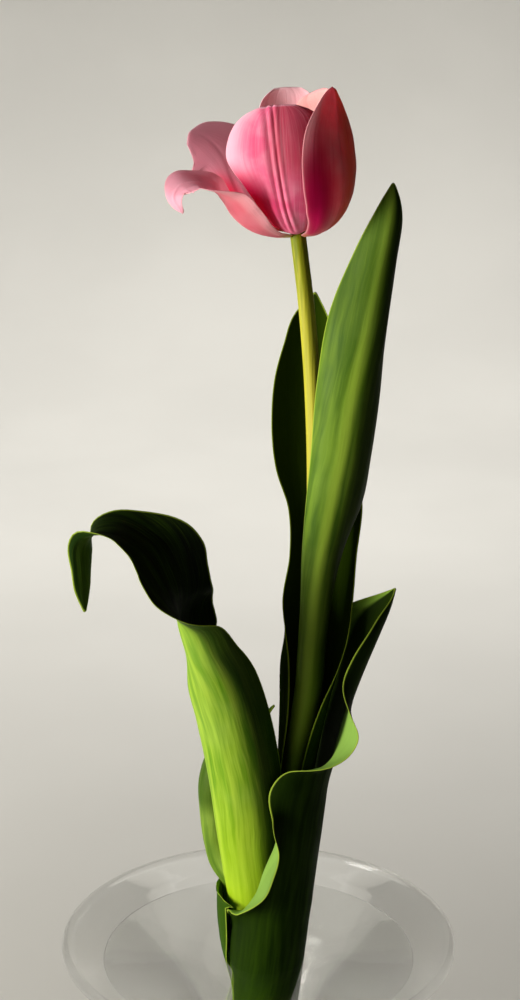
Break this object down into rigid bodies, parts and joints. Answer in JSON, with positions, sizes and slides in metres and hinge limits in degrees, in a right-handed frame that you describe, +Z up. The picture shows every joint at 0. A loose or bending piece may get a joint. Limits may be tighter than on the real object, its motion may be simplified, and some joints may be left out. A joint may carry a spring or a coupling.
{
  "type": "single tulip in a glass vase",
  "caption": "Single-flowered pink tulip with its stem and broad waved leaves, standing in a flared clear glass vase filled with water.",
  "frame": {"origin": "centre of the vase's flat underside", "axes": "+Z up along the vase's axis, -Y is the front, +X to the right seen from the front"},
  "size_m": [0.1844, 0.1844, 0.5395],
  "materials": {
    "glass": "clear polished glass",
    "water": "still clear water",
    "stem": "smooth pale green plant tissue",
    "leaf": "satin leaf with parallel veins and a grey bloom",
    "petal": "silky satin petal",
    "pistil": "matte plant tissue",
    "stamen": "powdery"
  },
  "bodies": {
    "root": {"vase": "glass", "water": "water", "stem": "stem", "leaf_tall": "leaf", "leaf_back": "leaf", "leaf_curled": "leaf", "leaf_clasping": "leaf", "leaf_short": "leaf", "tepal_outer_right": "petal", "tepal_outer_back": "petal", "tepal_outer_left": "petal", "tepal_inner_front": "petal", "tepal_inner_right": "petal", "tepal_inner_left": "petal", "pistil": "pistil", "stamen_1": "stamen", "stamen_2": "stamen", "stamen_3": "stamen", "stamen_4": "stamen", "stamen_5": "stamen", "stamen_6": "stamen"}
  },
  "joints": []
}
